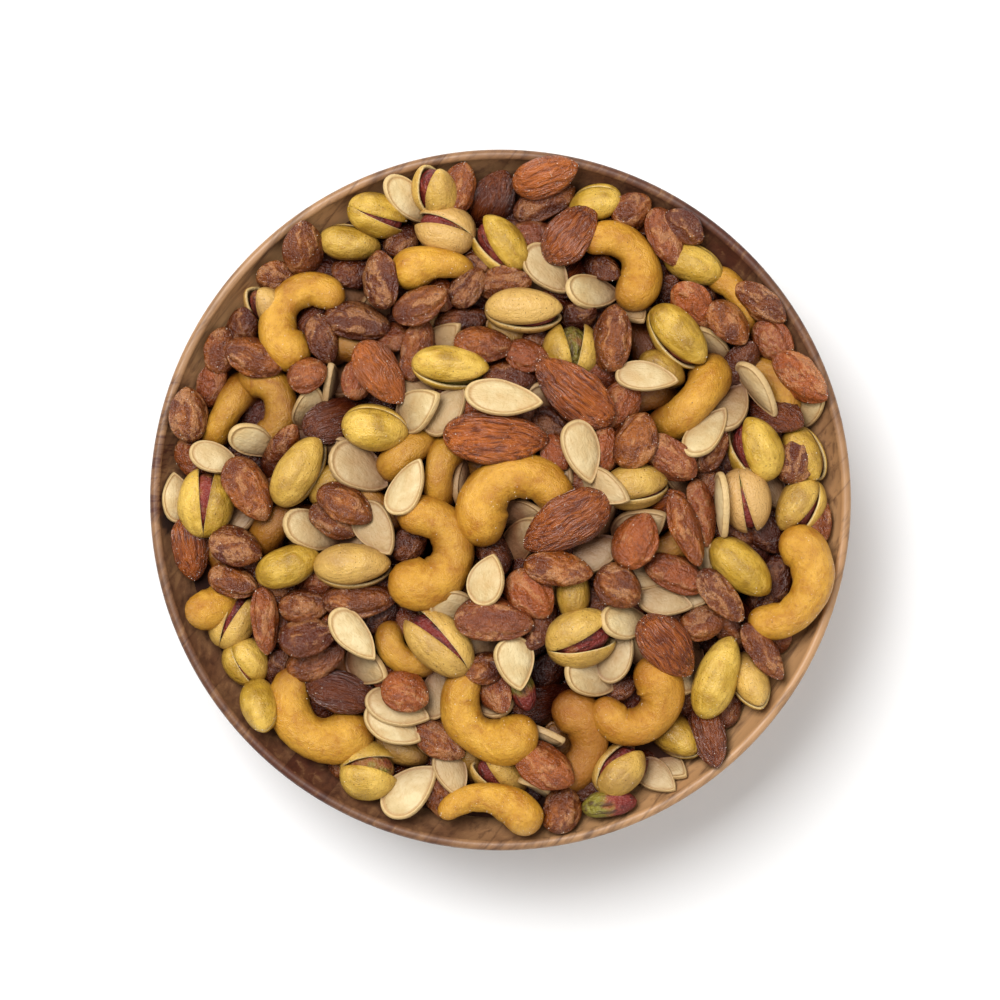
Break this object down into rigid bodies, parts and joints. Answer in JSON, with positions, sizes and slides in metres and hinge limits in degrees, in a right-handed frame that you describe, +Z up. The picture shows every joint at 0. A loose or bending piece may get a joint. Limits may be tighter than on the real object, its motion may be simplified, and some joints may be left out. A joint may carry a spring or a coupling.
{
  "type": "bowl of trail mix",
  "caption": "Small round laminated wooden bowl with a thin rounded lip, heaped with trail mix of cashews, pistachios in the shell, almonds, brown kernels and pumpkin seeds.",
  "frame": {"origin": "middle of the underside of the bowl's flat foot", "axes": "+Z up through the bowl's mouth; the picture's top edge is +Y and its right edge is +X"},
  "size_m": [0.176, 0.176, 0.0611],
  "materials": {
    "wood": "oiled",
    "nuts": "roasted",
    "cashew": "roasted",
    "pistachio_shell": "dry shell",
    "pistachio_kernel": "roasted",
    "almond": "roasted",
    "brown_kernel": "roasted and salted",
    "pumpkin_seed": "dry shell"
  },
  "bodies": {
    "root": {"bowl": "wood", "nut_mix": "nuts"}
  },
  "joints": []
}
